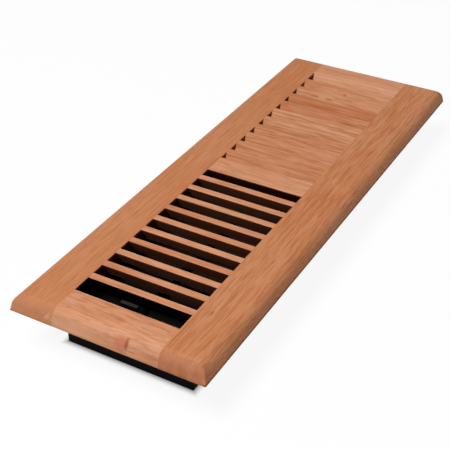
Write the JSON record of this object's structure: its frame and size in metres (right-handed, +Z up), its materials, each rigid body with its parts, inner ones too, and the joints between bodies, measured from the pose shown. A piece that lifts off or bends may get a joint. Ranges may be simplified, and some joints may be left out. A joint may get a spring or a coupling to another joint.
{
  "type": "floor register",
  "caption": "Louvred oak drop-in floor register: slanted slats throw air both ways, and a thumb tab works linked blades in the black damper box below.",
  "frame": {"origin": "middle of the damper box's bottom rim, the plane that it stands on", "axes": "+X along the register from the thumb tab's end to the far end, +Y across it to the left, +Z up"},
  "size_m": [0.3938, 0.1396, 0.0447],
  "materials": {
    "oak": "satin clear coat on red oak",
    "black_plastic": "fine matte moulded black",
    "zinc_screw": "zinc plated"
  },
  "bodies": {
    "frame": {"left_stile": "oak", "right_stile": "oak", "lever_end_rail": "oak", "middle_rail": "oak", "far_end_rail": "oak", "slat_01": "oak", "slat_02": "oak", "slat_03": "oak", "slat_04": "oak", "slat_05": "oak", "slat_06": "oak", "slat_07": "oak", "slat_08": "oak", "slat_09": "oak", "slat_10": "oak", "slat_11": "oak", "slat_12": "oak", "slat_13": "oak", "slat_14": "oak", "slat_15": "oak", "slat_16": "oak", "slat_17": "oak", "slat_18": "oak", "slat_19": "oak", "slat_20": "oak", "damper_box": "black_plastic", "box_screws": "zinc_screw"},
    "blade_01": {"damper_blade_01": "black_plastic"},
    "blade_02": {"damper_blade_02": "black_plastic"},
    "blade_03": {"damper_blade_03": "black_plastic"},
    "blade_04": {"damper_blade_04": "black_plastic"},
    "blade_05": {"damper_blade_05": "black_plastic"},
    "blade_06": {"damper_blade_06": "black_plastic"},
    "blade_07": {"damper_blade_07": "black_plastic"},
    "blade_08": {"damper_blade_08": "black_plastic"},
    "blade_09": {"damper_blade_09": "black_plastic"},
    "blade_10": {"damper_blade_10": "black_plastic"},
    "blade_11": {"damper_blade_11": "black_plastic"},
    "blade_12": {"damper_blade_12": "black_plastic"},
    "link": {"damper_link": "black_plastic"}
  },
  "joints": [
    {"name": "blade_01_pivot", "type": "hinge", "parent": "frame", "child": "blade_01", "pos_m": [-0.1548, 0, 0.0167], "axis": [0, 1, 0], "range_deg": [-40, 40]},
    {"name": "blade_02_pivot", "type": "hinge", "parent": "frame", "child": "blade_02", "pos_m": [-0.12665, 0, 0.0167], "axis": [0, 1, 0], "range_deg": [-40, 40]},
    {"name": "blade_03_pivot", "type": "hinge", "parent": "frame", "child": "blade_03", "pos_m": [-0.09851, 0, 0.0167], "axis": [0, 1, 0], "range_deg": [-40, 40]},
    {"name": "blade_04_pivot", "type": "hinge", "parent": "frame", "child": "blade_04", "pos_m": [-0.07036, 0, 0.0167], "axis": [0, 1, 0], "range_deg": [-40, 40]},
    {"name": "blade_05_pivot", "type": "hinge", "parent": "frame", "child": "blade_05", "pos_m": [-0.04222, 0, 0.0167], "axis": [0, 1, 0], "range_deg": [-40, 40]},
    {"name": "blade_06_pivot", "type": "hinge", "parent": "frame", "child": "blade_06", "pos_m": [-0.01407, 0, 0.0167], "axis": [0, 1, 0], "range_deg": [-40, 40]},
    {"name": "blade_07_pivot", "type": "hinge", "parent": "frame", "child": "blade_07", "pos_m": [0.01407, 0, 0.0167], "axis": [0, 1, 0], "range_deg": [-40, 40]},
    {"name": "blade_08_pivot", "type": "hinge", "parent": "frame", "child": "blade_08", "pos_m": [0.04222, 0, 0.0167], "axis": [0, 1, 0], "range_deg": [-40, 40]},
    {"name": "blade_09_pivot", "type": "hinge", "parent": "frame", "child": "blade_09", "pos_m": [0.07036, 0, 0.0167], "axis": [0, 1, 0], "range_deg": [-40, 40]},
    {"name": "blade_10_pivot", "type": "hinge", "parent": "frame", "child": "blade_10", "pos_m": [0.09851, 0, 0.0167], "axis": [0, 1, 0], "range_deg": [-40, 40]},
    {"name": "blade_11_pivot", "type": "hinge", "parent": "frame", "child": "blade_11", "pos_m": [0.12665, 0, 0.0167], "axis": [0, 1, 0], "range_deg": [-40, 40]},
    {"name": "blade_12_pivot", "type": "hinge", "parent": "frame", "child": "blade_12", "pos_m": [0.1548, 0, 0.0167], "axis": [0, 1, 0], "range_deg": [-40, 40]},
    {"name": "link_pivot", "type": "hinge", "parent": "blade_01", "child": "link", "pos_m": [-0.1548, 0.0023, 0.0231], "axis": [0, 1, 0], "range_deg": [-40, 40]}
  ],
  "couplings": [
    {"joint": "blade_02_pivot", "follows": "blade_01_pivot", "ratio": 1},
    {"joint": "blade_03_pivot", "follows": "blade_01_pivot", "ratio": 1},
    {"joint": "blade_04_pivot", "follows": "blade_01_pivot", "ratio": 1},
    {"joint": "blade_05_pivot", "follows": "blade_01_pivot", "ratio": 1},
    {"joint": "blade_06_pivot", "follows": "blade_01_pivot", "ratio": 1},
    {"joint": "blade_07_pivot", "follows": "blade_01_pivot", "ratio": 1},
    {"joint": "blade_08_pivot", "follows": "blade_01_pivot", "ratio": 1},
    {"joint": "blade_09_pivot", "follows": "blade_01_pivot", "ratio": 1},
    {"joint": "blade_10_pivot", "follows": "blade_01_pivot", "ratio": 1},
    {"joint": "blade_11_pivot", "follows": "blade_01_pivot", "ratio": 1},
    {"joint": "blade_12_pivot", "follows": "blade_01_pivot", "ratio": 1},
    {"joint": "link_pivot", "follows": "blade_01_pivot", "ratio": -1}
  ]
}
